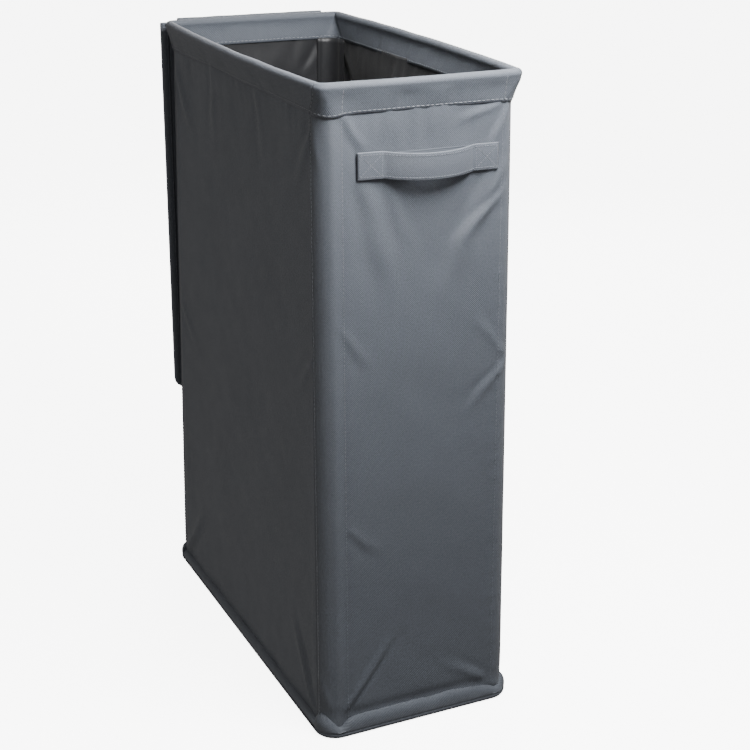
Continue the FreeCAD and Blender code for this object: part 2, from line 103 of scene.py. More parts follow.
@dataclass(frozen=True)
class Ring:
    """One level of the bag: a rounded rectangle whose sides may bulge."""

    half_x: float
    half_y: float
    corner: float
    level: float
    bow_x: float = 0.0
    bow_y: float = 0.0

    def mixed(self, other: "Ring", share: float) -> "Ring":
        """The ring that lies share of the way to another."""
        pairs = zip(self.values(), other.values())
        return Ring(*(a + (b - a) * share for a, b in pairs))

    def grown(self, by: float, level: float | None = None) -> "Ring":
        """The ring moved outwards all round, and to another level if one is given."""
        height = self.level if level is None else level
        corner = max(self.corner + by, 0.2 * MM)
        return Ring(self.half_x + by, self.half_y + by, corner, height, self.bow_x, self.bow_y)

    def values(self) -> tuple[float, ...]:
        """The ring's numbers, in the order of its fields."""
        return self.half_x, self.half_y, self.corner, self.level, self.bow_x, self.bow_y

    def spots(self, side: Side, columns: Sequence[tuple[int, float]]) -> list[Spot]:
        """Places along one face.

        Args:
            side: the face.
            columns: for each place, the stretch it is on (-1 and 1 are the corners) and how far along it.

        Returns:
            One spot for each column, from left to right as seen from outside.
        """
        centre_x, centre_y = self.half_x - self.corner, self.half_y - self.corner
        bow_x, bow_y = max(self.bow_x, 1e-7), max(self.bow_y, 1e-7)
        depth_x = (centre_y**2 - bow_x**2) / (2 * bow_x)
        depth_y = (centre_x**2 - bow_y**2) / (2 * bow_y)
        lean_x, lean_y = math.atan2(centre_y, depth_x), math.atan2(centre_x, depth_y)
        found = []
        for stretch, share in columns:
            middle_x = middle_y = 0.0
            if stretch == 0 and side.is_end:
                angle = -math.pi / 2 + lean_y * (2 * share - 1)
                middle_y, radius = depth_y - centre_y, depth_y + self.corner + bow_y
                along = (2 * share - 1) * centre_x
            elif stretch == 0:
                angle = lean_x * (2 * share - 1)
                middle_x, radius = centre_x - depth_x, depth_x + self.corner + bow_x
                along = (2 * share - 1) * centre_y
            else:
                begin = math.pi + lean_x if stretch < 0 else -math.pi / 2 + lean_y
                angle = begin + (math.pi / 2 - lean_x - lean_y) * share
                middle_x, middle_y, radius = stretch * centre_x, -centre_y, self.corner
                run = share - 1 if stretch < 0 else share
                along = stretch * centre_x + run * self.corner * math.pi / 2
            toward_x, toward_y = math.cos(angle), math.sin(angle)
            place = Vector((middle_x + radius * toward_x, middle_y + radius * toward_y, self.level))
            found.append(Spot(side.turn @ place, side.turn @ Vector((toward_x, toward_y, 0)), along))
        return found


def smooth(low: float, high: float, value: float) -> float:
    """0 below low, 1 above high, and an even S between them."""
    share = min(max((value - low) / (high - low), 0.0), 1.0)
    return share * share * (3 - 2 * share)


def bump(value: float, middle: float, width: float) -> float:
    """A round bump, 1 at its middle."""
    return math.exp(-(((value - middle) / width) ** 2))


@dataclass(frozen=True)
class Fold:
    """A crease in a cloth from one place to another, in millimetres along the face and up from the floor."""

    start: tuple[float, float]
    end: tuple[float, float]
    rise: float
    width: float

    def height(self, along: float, up: float) -> float:
        """How far the cloth stands out here."""
        dx, dz = self.end[0] - self.start[0], self.end[1] - self.start[1]
        length = math.hypot(dx, dz)
        share = ((along - self.start[0]) * dx + (up - self.start[1]) * dz) / length**2
        if not -0.15 < share < 1.15:
            return 0.0
        across = ((along - self.start[0]) * dz - (up - self.start[1]) * dx) / length
        across += 0.12 * self.width * math.sin(share * 9)
        fade = smooth(-0.15, 0.12, share) * (1 - smooth(0.45, 1.15, share))
        spread = self.width * (0.55 + 0.6 * share)
        crest = bump(across, 0, spread)
        return self.rise * fade * (crest - 0.55 * bump(across, 1.7 * spread, spread))


def ripple(along: float, up: float, scale: float, seed: float) -> float:
    """Soft uneven waves, about 1 high, with the given size in millimetres."""
    return noise.noise(Vector((along / scale, up / scale, seed))) * 1.6


# ------------------------------------------------------------------------------------------ mesh helpers


@dataclass
class Point:
    """Where a grid's point goes, its place on the flat cloth, and how much it is rubbed."""

    place: Vector
    flat: tuple[float, float]
    rubbed: float = 0.0


def deselect() -> None:
    """Nothing is selected, so that the next operator acts on its own piece."""
    if bpy.context.object and bpy.context.object.mode != "OBJECT":
        bpy.ops.object.mode_set(mode="OBJECT")
    bpy.ops.object.select_all(action="DESELECT")


def activate(piece: Object) -> None:
    """Select one piece and make it the active one."""
    deselect()
    piece.select_set(True)
    bpy.context.view_layer.objects.active = piece


def settle(piece: Object) -> None:
    """Put a piece's place into its mesh."""
    activate(piece)
    bpy.ops.object.transform_apply(location=True, rotation=True, scale=True)


def apply_modifier(piece: Object, kind: str, **settings: object) -> None:
    """Add a modifier with these settings and apply it."""
    activate(piece)
    modifier = piece.modifiers.new(kind.title(), kind)
    for name, value in settings.items():
        setattr(modifier, name, value)
    bpy.ops.object.modifier_apply(modifier=modifier.name)


def cloth_grid(name: str, across: int, up: int, put: Callable[[int, int], Point]) -> Object:
    """A grid of cloth whose every point is put in its place.

    Args:
        name: the piece's name.
        across: how many faces lie across it.
        up: how many faces lie up it.
        put: gives the point at a column and a row.

    Returns:
        The piece, with its flat measures in metres as UVs and its rubbed places as an attribute.
    """
    deselect()
    bpy.ops.mesh.primitive_grid_add(x_subdivisions=across, y_subdivisions=up, size=2)
    piece = bpy.context.object
    piece.name = piece.data.name = name
    mesh = piece.data
    points = []
    rubbed = mesh.attributes.new("rubbed", "FLOAT", "POINT")
    for vertex in mesh.vertices:
        column, row = round((vertex.co.x + 1) / 2 * across), round((vertex.co.y + 1) / 2 * up)
        point = put(column, row)
        points.append(point)
        vertex.co = point.place
        rubbed.data[vertex.index].value = point.rubbed
    layer = mesh.uv_layers.active.data
    for loop in mesh.loops:
        layer[loop.index].uv = points[loop.vertex_index].flat
    mesh.polygons.foreach_set("use_smooth", [True] * len(mesh.polygons))
    mesh.update()
    return piece


def close_tube(piece: Object) -> None:
    """Join the long edges of a rolled-up grid, and close its ends."""
    activate(piece)
    bpy.ops.object.mode_set(mode="EDIT")
    bpy.ops.mesh.select_all(action="SELECT")
    bpy.ops.mesh.remove_doubles(threshold=0.00001)
    bpy.ops.mesh.select_all(action="DESELECT")
    bpy.ops.mesh.select_mode(type="EDGE")
    bpy.ops.mesh.select_non_manifold()
    bpy.ops.mesh.fill()
    bpy.ops.mesh.select_all(action="SELECT")
    bpy.ops.mesh.normals_make_consistent(inside=False)
    bpy.ops.mesh.select_mode(type="VERT")
    bpy.ops.object.mode_set(mode="OBJECT")


def plate(name: str, low: Vector, high: Vector, normal_axis: str, corner: float, soft: float) -> Object:
    """A flat plate with rounded corners and soft edges.

    Args:
        name: the piece's name.
        low: its lowest corner.
        high: its highest corner.
        normal_axis: "Z" for a lying plate, "Y" for an upright one that faces the front.
        corner: the corners' radius.
        soft: the radius along its edges.

    Returns:
        The plate.
    """
    middle, span = (low + high) / 2, high - low
    upright = normal_axis == "Y"
    width, length, thick = (span.x, span.z, span.y) if upright else (span.x, span.y, span.z)
    deselect()
    bpy.ops.mesh.primitive_plane_add(size=1)
    piece = bpy.context.object
    piece.name = piece.data.name = name
    piece.scale = (width, length, 1)
    piece.location = (0, 0, -thick / 2)
    settle(piece)
    bpy.ops.object.mode_set(mode="EDIT")
    bpy.ops.mesh.select_all(action="SELECT")
    bpy.ops.mesh.bevel(offset=corner, segments=8, affect="VERTICES")
    bpy.ops.mesh.extrude_region_move(TRANSFORM_OT_translate={"value": (0, 0, thick)})
    bpy.ops.mesh.select_all(action="SELECT")
    bpy.ops.mesh.normals_make_consistent(inside=False)
    bpy.ops.object.mode_set(mode="OBJECT")
    apply_modifier(piece, "BEVEL", width=soft, segments=3, limit_method="ANGLE", angle_limit=math.radians(50))
    activate(piece)
    bpy.ops.object.shade_smooth_by_angle(angle=math.radians(40))
    piece.rotation_euler = (math.radians(90), 0, 0) if upright else (0, 0, 0)
    piece.location = middle
    settle(piece)
    flatten_map(piece, upright)
    return piece


def flatten_map(piece: Object, upright: bool) -> None:
    """Give a plate UVs in metres, as its cloth lies."""
    mesh = piece.data
    layer = (mesh.uv_layers.active or mesh.uv_layers.new(name="UVMap")).data
    for loop in mesh.loops:
        place = mesh.vertices[loop.vertex_index].co
        layer[loop.index].uv = (place.x, place.z if upright else place.y)


@dataclass(frozen=True)
class Thread:
    """A sewing thread and how it is stitched."""

    pitch: float = 3.6 * MM
    length: float = 2.7 * MM
    radius: float = 0.32 * MM
    sink: float = 0.06 * MM

    def sew(self, name: str, runs: Sequence[Sequence[Spot]]) -> Object:
        """Stitches along every run, each a small flattened bead of thread.

        Args:
            name: the piece's name.
            runs: the seams, each as the spots that it passes.

        Returns:
            All the stitches as one piece.
        """
        deselect()
        bpy.ops.mesh.primitive_uv_sphere_add(segments=6, ring_count=5, radius=1)
        bead = bpy.context.object
        bead.rotation_euler = (0, math.radians(90), 0)
        bead.scale = (self.radius * 0.8, self.radius, self.length / 2)
        settle(bead)
        pattern = [vertex.co.copy() for vertex in bead.data.vertices]
        faces = [tuple(face.vertices) for face in bead.data.polygons]
        bpy.data.objects.remove(bead)
        places, polygons = [], []
        for run in runs:
            for spot, ahead in self.steps(run):
                side = spot.out.cross(ahead).normalized()
                up = ahead.cross(side).normalized()
                turn = Matrix((ahead, side, up)).transposed()
                base = len(places)
                middle = spot.place + up * self.sink
                places.extend(middle + turn @ corner for corner in pattern)
                polygons.extend(tuple(base + corner for corner in face) for face in faces)
        mesh = bpy.data.meshes.new(name)
        mesh.from_pydata(places, [], polygons)
        mesh.polygons.foreach_set("use_smooth", [True] * len(mesh.polygons))
        piece = bpy.data.objects.new(name, mesh)
        bpy.context.scene.collection.objects.link(piece)
        return piece

    def steps(self, run: Sequence[Spot]) -> list[tuple[Spot, Vector]]:
        """The middle of each stitch along a run, and the way it points."""
        found, left = [], self.pitch / 2
        for first, second in zip(run, run[1:]):
            step = second.place - first.place
            reach = step.length
            if reach < 1e-7:
                continue
            while left <= reach:
                share = left / reach
                out = (first.out * (1 - share) + second.out * share).normalized()
                found.append((Spot(first.place + step * share, out, 0.0), step / reach))
                left += self.pitch
            left -= reach
        return found


# ---------------------------------------------------------------------------------------------- finishes


class Nodes:
    """A material's node tree, built step by step."""

    def __init__(self, name: str) -> None:
        """Start a material that has only its shader and its output."""
        self.material = bpy.data.materials.new(name)
        self.material.use_nodes = True
        self.tree = self.material.node_tree
        self.shader = self.tree.nodes["Principled BSDF"]

    def add(self, kind: str, inputs: dict | None = None, **settings: object) -> bpy.types.Node:
        """Add a node; each input is a number, a colour or another node's socket."""
        node = self.tree.nodes.new(kind)
        for name, value in settings.items():
            setattr(node, name, value)
        for name, value in (inputs or {}).items():
            self.feed(node.inputs[name], value)
        return node

    def feed(self, socket: bpy.types.NodeSocket, value: object) -> None:
        """Set a socket, or link another socket to it."""
        if isinstance(value, bpy.types.NodeSocket):
            self.tree.links.new(value, socket)
        else:
            socket.default_value = value

    def math(self, operation: str, first: object, second: object = 0.0,
             third: object = 0.0) -> bpy.types.NodeSocket:
        """The result of a Math node."""
        node = self.add("ShaderNodeMath", {0: first, 1: second, 2: third}, operation=operation)
        return node.outputs[0]

    def mix(self, share: object, first: object, second: object, blend: str = "MIX") -> bpy.types.NodeSocket:
        """The result of mixing two colours."""
        node = self.add("ShaderNodeMix", data_type="RGBA", blend_type=blend)
        for socket, value in zip((node.inputs[0], node.inputs[6], node.inputs[7]), (share, first, second)):
            self.feed(socket, value)
        return node.outputs[2]

    def noise(self, where: object, scale: float, detail: float = 3.0) -> bpy.types.NodeSocket:
        """A noise texture's value."""
        inputs = {"Vector": where, "Scale": scale, "Detail": detail}
        return self.add("ShaderNodeTexNoise", inputs).outputs[0]

    def span(self, value: object, low: float, high: float) -> bpy.types.NodeSocket:
        """A value from 0 to 1 spread between two numbers."""
        return self.add("ShaderNodeMapRange", {0: value, 3: low, 4: high}).outputs[0]


@dataclass(frozen=True)
class WovenCloth:
    """A woven polyester: the colours of its threads and how coarse and how shiny it is."""

    name: str
    light: tuple[float, float, float, float]
    dark: tuple[float, float, float, float]
    rubbed: tuple[float, float, float, float]
    thread: float = 1.7 * MM
    rough: float = 0.62
    sheen: float = 0.06
    relief: float = 0.0004

    def make(self) -> Material:
        """Twill lines across the cloth, cloudy dye, uneven gloss and paler rubbed places."""
        nodes = Nodes(self.name)
        flat = nodes.add("ShaderNodeTexCoord").outputs["UV"]
        pace = 2 * math.pi / self.thread
        scaled = nodes.add("ShaderNodeVectorMath", {0: flat, "Scale": pace}, operation="SCALE")
        parts = nodes.add("ShaderNodeSeparateXYZ", {0: scaled.outputs[0]})
        warp, weft = parts.outputs[0], parts.outputs[1]
        twill = nodes.math("SINE", nodes.math("ADD", warp, weft))
        cross = nodes.math("MULTIPLY", nodes.math("SINE", nodes.math("SUBTRACT", warp, weft)), 0.45)
        weave = nodes.math("MULTIPLY_ADD", nodes.math("ADD", twill, cross), 0.34, 0.5)
        grain = nodes.noise(flat, 620.0, 2.0)
        cloud = nodes.noise(flat, 14.0, 4.0)
        threads = nodes.math("MULTIPLY_ADD", grain, 0.9, nodes.math("MULTIPLY_ADD", weave, 0.8, -0.4))
        colour = nodes.mix(threads, self.dark, self.light)
        colour = nodes.mix(nodes.span(cloud, 0.0, 0.35), colour, self.dark)
        worn = nodes.add("ShaderNodeAttribute", attribute_name="rubbed").outputs["Fac"]
        worn = nodes.math("MULTIPLY", worn, nodes.span(nodes.noise(flat, 260.0), 0.3, 1.0))
        nodes.feed(nodes.shader.inputs["Base Color"], nodes.mix(worn, colour, self.rubbed))
        gloss = nodes.span(nodes.noise(flat, 55.0), self.rough - 0.07, self.rough + 0.07)
        nodes.feed(nodes.shader.inputs["Roughness"], gloss)
        nodes.shader.inputs["Sheen Weight"].default_value = self.sheen
        nodes.shader.inputs["Sheen Roughness"].default_value = 0.45
        nodes.shader.inputs["Specular IOR Level"].default_value = 0.35
        height = nodes.math("ADD", weave, nodes.math("MULTIPLY", grain, 0.7))
        lift = nodes.add("ShaderNodeBump", {"Height": height, "Distance": self.relief, "Strength": 0.7})
        nodes.feed(nodes.shader.inputs["Normal"], lift.outputs[0])
        return nodes.material


@dataclass(frozen=True)
class SewingThread:
    """Twisted polyester thread."""

    name: str
    colour: tuple[float, float, float, float]

    def make(self) -> Material:
        """A fine twist along the thread and a slight change of tone."""
        nodes = Nodes(self.name)
        where = nodes.add("ShaderNodeTexCoord").outputs["Object"]
        tone = nodes.noise(where, 700.0, 2.0)
        darker = tuple(value * 0.6 for value in self.colour[:3]) + (1.0,)
        nodes.feed(nodes.shader.inputs["Base Color"], nodes.mix(tone, darker, self.colour))
        nodes.feed(nodes.shader.inputs["Roughness"], nodes.span(tone, 0.45, 0.7))
        lift = nodes.add("ShaderNodeBump", {"Height": tone, "Distance": 0.0001, "Strength": 0.5})
        nodes.feed(nodes.shader.inputs["Normal"], lift.outputs[0])
        return nodes.material


@dataclass(frozen=True)
class HardStock:
    """A hard stock that the cloth hides: wire, plastic strip or pressed board."""

    name: str
    colour: tuple[float, float, float, float]
    speck: tuple[float, float, float, float]
    scale: float
    rough: float
    metal: float = 0.0

    def make(self) -> Material:
        """Speckled colour, uneven gloss and a fine grain."""
        nodes = Nodes(self.name)
        where = nodes.add("ShaderNodeTexCoord").outputs["Object"]
        grain = nodes.noise(where, self.scale, 5.0)
        nodes.feed(nodes.shader.inputs["Base Color"], nodes.mix(grain, self.colour, self.speck))
        nodes.feed(nodes.shader.inputs["Roughness"], nodes.span(grain, self.rough - 0.1, self.rough + 0.1))
        nodes.shader.inputs["Metallic"].default_value = self.metal
        lift = nodes.add("ShaderNodeBump", {"Height": grain, "Distance": 0.0001, "Strength": 0.4})
        nodes.feed(nodes.shader.inputs["Normal"], lift.outputs[0])
        return nodes.material


@dataclass
class Finishes:
    """Every finish of the hamper, made once."""

    cloth: Material = field(init=False)
    lining: Material = field(init=False)
    webbing: Material = field(init=False)
    thread: Material = field(init=False)
    pale_thread: Material = field(init=False)
    wire: Material = field(init=False)
    strip: Material = field(init=False)
    board: Material = field(init=False)

    def __post_init__(self) -> None:
        """Make them all."""
        self.cloth = WovenCloth(
            "grey_cloth", (0.106, 0.120, 0.146, 1), (0.038, 0.043, 0.051, 1), (0.17, 0.185, 0.21, 1)).make()
        # The lining's colours: a dark coated cloth, darkened further as painted shade for the inside of the
        # bag.
        self.lining = WovenCloth(
            "dark_lining", (0.020, 0.021, 0.023, 1), (0.009, 0.009, 0.010, 1), (0.06, 0.06, 0.065, 1),
            rough=0.42, sheen=0.1, relief=0.0001).make()
        self.webbing = WovenCloth(
            "strap_cloth", (0.110, 0.124, 0.150, 1), (0.042, 0.047, 0.056, 1), (0.19, 0.205, 0.23, 1),
            rough=0.58).make()
        self.thread = SewingThread("grey_thread", (0.15, 0.165, 0.19, 1)).make()
        self.pale_thread = SewingThread("pale_thread", (0.20, 0.215, 0.24, 1)).make()
        self.wire = HardStock(
            "plated_wire", (0.55, 0.56, 0.58, 1), (0.40, 0.41, 0.43, 1), 350.0, 0.35, metal=1.0).make()
        self.strip = HardStock(
            "white_strip", (0.75, 0.75, 0.72, 1), (0.62, 0.62, 0.60, 1), 120.0, 0.45).make()
        self.board = HardStock(
            "pressed_board", (0.34, 0.29, 0.22, 1), (0.22, 0.18, 0.13, 1), 240.0, 0.8).make()


def dress(piece: Object, body: str, slot: str, *finishes: Material) -> None:
    """Give a piece its finishes and its body, and report it."""
    for finish in finishes:
        piece.data.materials.append(finish)
    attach(piece, body)
    log.info("%s: %d faces on %s", piece.name, len(piece.data.polygons), body)


# --------------------------------------------------------------------------------------------- the bag


def columns_for(side: Side, straight: int, round_one: int) -> list[tuple[int, float]]:
    """The columns of a cloth: both corners and the straight stretch on an end, else the straight alone."""
    middle = [(0, number / straight) for number in range(straight + 1)]
    if not side.is_end:
        return middle
    left = [(-1, number / round_one) for number in range(round_one)]
    right = [(1, number / round_one) for number in range(1, round_one + 1)]
    return left + middle + right


@dataclass
class BagForm:
    """The shape that all the cloth follows, read from the frame."""

    hem_setback: float = 4.0 * MM
    wall_corner: float = 16.0 * MM
    rim_bend: float = 5.0 * MM
    casing: float = 4.15 * MM
    side_bow: float = 6.0 * MM
    end_bow: float = 2.0 * MM

    def __post_init__(self) -> None:
        """Measure the walls and the rim."""
        wall_low, wall_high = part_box("front_wall")
        rim_low, rim_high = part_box("left_hem")[0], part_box("front_hem")[1]
        self.height = rim_high[2]
        self.foot_level, self.top_level = wall_low[2], wall_high[2]
        rim_half_x = -rim_low[0] - self.side_bow
        rim_half_y = -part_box("front_hem")[0][1] - self.end_bow
        self.foot = Ring(wall_high[0], -wall_low[1], self.wall_corner, self.foot_level)
        self.top = Ring(rim_half_x - self.hem_setback, rim_half_y - self.hem_setback, self.wall_corner,
                        self.top_level)
        self.rim = Ring(rim_half_x - self.casing, rim_half_y - self.casing, self.rim_bend,
                        self.height - self.casing, self.side_bow, self.end_bow)

    def wall(self, level: float) -> Ring:
        """The walls' outer face at a level."""
        share = (level - self.foot_level) / (self.top_level - self.foot_level)
        return self.foot.mixed(self.top, share)

    def seam_at(self, side: Side, level: float) -> float:
        """How far along a face, from its middle, its cloth ends at a level, in metres."""
        share = (level - self.foot_level) / (self.top_level - self.foot_level)
        if side.is_end:
            half = self.foot.half_x + (self.top.half_x - self.foot.half_x) * share
            return half + self.wall_corner * (math.pi / 2 - 1)
        return self.foot.half_y + (self.top.half_y - self.foot.half_y) * share - self.wall_corner


END_FOLDS = (
    Fold((-74, 22), (-22, 92), 1.3, 3.4),
    Fold((83, 13), (24, 50), 0.9, 4.5),
    Fold((74, 476), (34, 436), 1.1, 4.5),
    Fold((76, 500), (52, 447), 0.8, 4.0),
    Fold((78, 545), (60, 505), 0.9, 4.0),
    Fold((70, 548), (30, 536), 0.8, 3.5),
    Fold((-69, 548), (-46, 515), 0.8, 4.0),
    Fold((-96, 545), (-88, 505), 0.8, 3.0),
    Fold((-52, 494), (-18, 384), 0.9, 10.0),
    Fold((66, 494), (22, 392), 1.0, 9.0),
    Fold((-30, 492), (-6, 430), 0.5, 6.0),
    Fold((81, 327), (44, 286), 0.8, 4.5),
    Fold((81, 335), (50, 372), 0.6, 4.5),
    Fold((-72, 376), (-44, 338), 0.5, 5.0),
    Fold((-69, 200), (-34, 168), 0.5, 5.0),
    Fold((-98, 60), (-84, 24), 0.8, 3.0),
)
SIDE_FOLDS = (
    Fold((-172, 545), (-120, 470), 1.0, 7.0),
    Fold((172, 545), (128, 480), 1.0, 7.0),
    Fold((-174, 14), (-118, 84), 1.2, 6.0),
    Fold((174, 14), (112, 92), 1.3, 6.0),
    Fold((-60, 548), (-70, 470), 0.7, 8.0),
    Fold((44, 548), (60, 480), 0.6, 8.0),
    Fold((-172, 300), (-128, 262), 0.7, 6.0),
    Fold((172, 352), (132, 306), 0.7, 6.0),
)


@dataclass(frozen=True)
class Panel:
    """How one kind of wall cloth hangs, in millimetres.

    The edge of the loose middle and the ridge over a stay are measured from the face's middle. The sag is how
    far the middle hangs in, the swell the height of its long waves, and the crease runs above the base roll.
    """

    folds: tuple[Fold, ...]
    loose: float
    ridge: float
    sag: float
    swell: float
    crease: float
    crease_depth: float


END_PANEL = Panel(END_FOLDS, loose=75.0, ridge=77.0, sag=1.3, swell=0.7, crease=21.0, crease_depth=1.5)
LONG_PANEL = Panel(SIDE_FOLDS, loose=172.0, ridge=169.0, sag=2.6, swell=1.1, crease=15.0, crease_depth=1.0)
SLEEVE_SEAMS = (-69.0, 74.0)        # along an end, from its middle, in millimetres
CORNER_SEAMS = (-97.5, 97.5)


@dataclass
class Walls:
    """The four wall cloths, with a dark lining and painted shade inside, and the seams that show on them."""

    form: BagForm
    finishes: Finishes
    thickness: float = 0.9 * MM
    tuck: float = 2.5 * MM
    row_step: float = 2.7 * MM
    end_flat: float = 202 * MM      # an end and its two rounded corners
    take_up: float = 0.97           # the share of its length that the cloth would be cut to, to hang taut
    fold_gain: float = 1.7
    stay_guard: float = -0.45       # in millimetres: deeper, and a stay would show through

    def relief(self, side: Side, along: float, up: float) -> float:
        """How far the cloth stands out from its plain form, in metres.

        Args:
            side: the face.
            along: millimetres from the face's middle.
            up: millimetres above the floor.

        Returns:
            The distance outwards.
        """
        seed = 3.0 + 7.0 * list(Side).index(side)
        panel = END_PANEL if side.is_end else LONG_PANEL
        tall = smooth(10, 60, up) * (1 - smooth(520, 549, up))
        total = self.fold_gain * sum(fold.height(along, up) for fold in panel.folds)
        hollow = 1 - min(abs(along) / panel.loose, 1.0) ** 2
        total -= panel.sag * hollow * tall
        total += 0.55 * bump(abs(along), panel.ridge, 2.2) * (0.4 + 0.6 * tall)
        if side.is_end:
            total += self.pucker(along, up, seed)
        total += panel.swell * ripple(along, up, 85, seed) * hollow
        total += self.creases(along, up, seed) * (0.3 + 0.7 * hollow)
        total += self.gathers(along, up, seed)
        total -= panel.crease_depth * bump(up, panel.crease, 4.5)
        guarded = smooth(panel.loose - 11, panel.loose - 3, abs(along))
        total = total * (1 - guarded) + max(total, self.stay_guard) * guarded
        left = self.form.seam_at(side, up * MM) / MM - abs(along)
        return (total * smooth(0.5, 6.0, left) + 0.35 * bump(left, 0, 2.2)) * MM

    @staticmethod
    def pucker(along: float, up: float, seed: float) -> float:
        """How the seam that holds a sleeve draws an end's cloth in, in millimetres."""
        seam = abs(SLEEVE_SEAMS[along >= 0])
        ease = 0.16 * bump(abs(along), seam, 5.0) * math.sin(up / 2.3 + 2 * ripple(along, up, 30, seed))
        return ease - 0.5 * bump(abs(along), seam, 2.2)

    @staticmethod
    def creases(along: float, up: float, seed: float) -> float:
        """Small slanted creases, deeper towards the rim, in millimetres."""
        depth = 0.26 + 0.25 * smooth(360, 520, up)
        return depth * ripple(along + 0.5 * up, 0.7 * up, 30, seed + 1)

    @staticmethod
    def gathers(along: float, up: float, seed: float) -> float:
        """Close gathers under the hem, and slack waves above the base roll, in millimetres."""
        under_hem = 0.45 * smooth(505, 547, up) * ripple(along * 1.6, up * 0.35, 13, seed + 2)
        slack = 0.55 * (1 - smooth(12, 58, up)) * ripple(along, up * 0.6, 22, seed + 3)
        return under_hem + slack

    def place(self, side: Side, spot: Spot, up: float) -> Spot:
        """A spot of the plain form, moved to where the cloth really lies."""
        moved = spot.place + spot.out * self.relief(side, spot.along / MM, up / MM)
        return Spot(moved, spot.out, spot.along)

    def column(self, side: Side, along: float, ring: Ring) -> tuple[int, float]:
        """The column of a ring that lies at a distance from the face's middle, in metres."""
        centre = ring.half_x - ring.corner if side.is_end else ring.half_y - ring.corner
        if abs(along) <= centre:
            return 0, (along / centre + 1) / 2
        turned = min((abs(along) - centre) / (ring.corner * math.pi / 2), 1.0)
        return (1, turned) if along > 0 else (-1, 1 - turned)

    def seam(self, side: Side, along: float, low: float, high: float) -> list[Spot]:
        """The run of an upright seam at a distance from the face's middle, in metres."""
        run = []
        steps = max(int((high - low) / (4 * MM)), 2)
        for number in range(steps + 1):
            up = low + (high - low) * number / steps
            ring = self.form.wall(up)
            run.append(self.place(side, ring.spots(side, [self.column(side, along, ring)])[0], up))
        return run

    def cloth(self, side: Side) -> Object:
        """One wall's cloth."""
        columns = columns_for(side, 56 if side.is_end else 84, 9)
        low, high = self.form.foot_level - 2 * MM, self.form.top_level + self.tuck
        rows = int((high - low) / self.row_step)
        levels = [low + (high - low) * row / rows for row in range(rows + 1)]
        spots = [self.form.wall(level).spots(side, columns) for level in levels]

        def put(column: int, row: int) -> Point:
            spot = self.place(side, spots[row][column], levels[row])
            edge = abs(spot.along / MM)
            stay = bump(edge, (END_PANEL if side.is_end else LONG_PANEL).ridge, 2.5)
            rubbed = 0.10 * stay + 0.18 * bump(edge, 88 if side.is_end else 400, 8)
            return Point(spot.place, (spot.along, levels[row]), rubbed)

        piece = cloth_grid(f"{side.label}_cloth", len(columns) - 1, rows, put)
        for finish in (self.finishes.cloth, self.finishes.lining):
            piece.data.materials.append(finish)
        apply_modifier(piece, "SOLIDIFY", thickness=self.thickness, offset=-1.0, material_offset=1,
                       material_offset_rim=0)
        return piece

    def make(self) -> None:
        """Sew all four and the seams on them."""
        for side in Side:
            piece = self.cloth(side)
            dress(piece, "hamper", "grey_fabric")
            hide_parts(f"{side.label}_wall")
        low, high = self.form.foot_level + 8 * MM, self.form.top_level
        for name, finish, places in (("corner_stitching", self.finishes.pale_thread, CORNER_SEAMS),
                                     ("sleeve_stitching", self.finishes.thread, SLEEVE_SEAMS)):
            runs = [self.seam(side, along * MM, low, high)
                    for side in (Side.FRONT, Side.BACK) for along in places]
            stitches = Thread(radius=0.27 * MM, sink=0.22 * MM).sew(name, runs)
            dress(stitches, "hamper", "webbing", finish)


